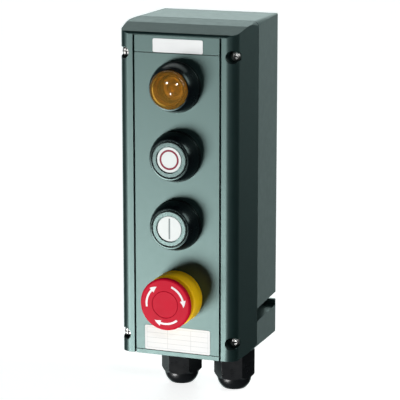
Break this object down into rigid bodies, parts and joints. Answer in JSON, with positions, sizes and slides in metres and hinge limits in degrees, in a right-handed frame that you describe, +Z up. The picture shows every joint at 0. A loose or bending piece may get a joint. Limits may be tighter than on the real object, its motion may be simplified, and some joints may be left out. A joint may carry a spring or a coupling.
{
  "type": "control station",
  "caption": "Tall wall-mounted control box with an amber indicator lamp, off and on push-buttons, a mushroom emergency stop and cable glands below.",
  "frame": {"origin": "centre of the flat back face that lies on the wall, half-way up the housing", "axes": "+Z up, +X to the right seen from the front, +Y into the wall, so the front faces -Y"},
  "size_m": [0.0968, 0.1149, 0.283],
  "materials": {
    "housing": "satin dark grey-green moulding with a fine grain",
    "panel": "satin dark grey-green sheet",
    "label": "white label film",
    "legend": "white disc with a plain symbol",
    "screw_steel": "bright plated steel",
    "zinc_steel": "zinc-plated steel",
    "spring_steel": "drawn steel",
    "brass": "plain brass",
    "contact_metal": "brass strip with contact tips",
    "terminal_plastic": "grey polyamide",
    "bezel_black": "smooth black plastic",
    "nut_plastic": "dark grey plastic",
    "seal_rubber": "black rubber",
    "lens_amber": "clear amber plastic",
    "holder_white": "natural white plastic",
    "led_resin": "cast resin",
    "cap_grey": "satin grey plastic",
    "block_plastic": "moulded grey plastic",
    "collar_yellow": "yellow plastic",
    "mushroom_red": "red plastic",
    "gland_black": "black polyamide"
  },
  "bodies": {
    "station": {"rear_housing": "housing", "front_cover": "housing", "cover_gasket": "seal_rubber", "cover_screws": "screw_steel", "front_plate": "panel", "label_strip": "panel", "name_label": "label", "rating_plate": "label", "mounting_rail": "zinc_steel", "rail_screws": "zinc_steel", "terminal_blocks": "terminal_plastic", "terminal_screws": "zinc_steel", "earth_terminal": "brass", "lamp_bezel": "bezel_black", "lamp_lens": "lens_amber", "lamp_gasket": "seal_rubber", "lamp_ring_nut": "nut_plastic", "lamp_holder": "holder_white", "led_insert": "led_resin", "off_bezel": "bezel_black", "off_gasket": "seal_rubber", "off_ring_nut": "nut_plastic", "off_spring": "spring_steel", "off_shaft_seal": "seal_rubber", "off_contact_block": "block_plastic", "off_fixed_contacts": "contact_metal", "on_bezel": "bezel_black", "on_gasket": "seal_rubber", "on_ring_nut": "nut_plastic", "on_spring": "spring_steel", "on_shaft_seal": "seal_rubber", "on_contact_block": "block_plastic", "on_fixed_contacts": "contact_metal", "estop_collar": "collar_yellow", "estop_gasket": "seal_rubber", "estop_ring_nut": "nut_plastic", "estop_spring": "spring_steel", "estop_latch_ring": "spring_steel", "estop_shaft_seal": "seal_rubber", "estop_contact_block": "block_plastic", "estop_fixed_contacts": "contact_metal", "contact_screws": "zinc_steel", "gland_bodies": "gland_black", "gland_cap_nuts": "gland_black", "gland_inserts": "seal_rubber", "gland_washers": "seal_rubber", "gland_locknuts": "gland_black"},
    "off_button": {"off_cap": "cap_grey", "off_legend": "legend", "off_plunger": "holder_white", "off_contact_bridge": "contact_metal"},
    "on_button": {"on_cap": "cap_grey", "on_legend": "legend", "on_plunger": "holder_white", "on_contact_bridge": "contact_metal"},
    "estop_stem": {"estop_stem": "holder_white", "estop_contact_bridge": "contact_metal"},
    "estop_mushroom": {"estop_head": "mushroom_red", "estop_centre_cap": "mushroom_red"}
  },
  "joints": [
    {"name": "off_press", "type": "slide", "parent": "station", "child": "off_button", "axis": [0, 1, 0], "range_m": [0, 0.004], "stiffness_N_per_m": 600, "springref_m": -0.002, "deforming": ["off_spring"]},
    {"name": "on_press", "type": "slide", "parent": "station", "child": "on_button", "axis": [0, 1, 0], "range_m": [0, 0.004], "stiffness_N_per_m": 600, "springref_m": -0.002, "deforming": ["on_spring"]},
    {"name": "estop_push", "type": "slide", "parent": "station", "child": "estop_stem", "axis": [0, 1, 0], "range_m": [0, 0.005], "deforming": ["estop_spring"]},
    {"name": "estop_turn", "type": "hinge", "parent": "estop_stem", "child": "estop_mushroom", "pos_m": [0, -0.1, -0.0765], "axis": [0, 1, 0], "range_deg": [0, 45], "stiffness_Nm_per_rad": 0.05, "springref_deg": -11.46}
  ]
}
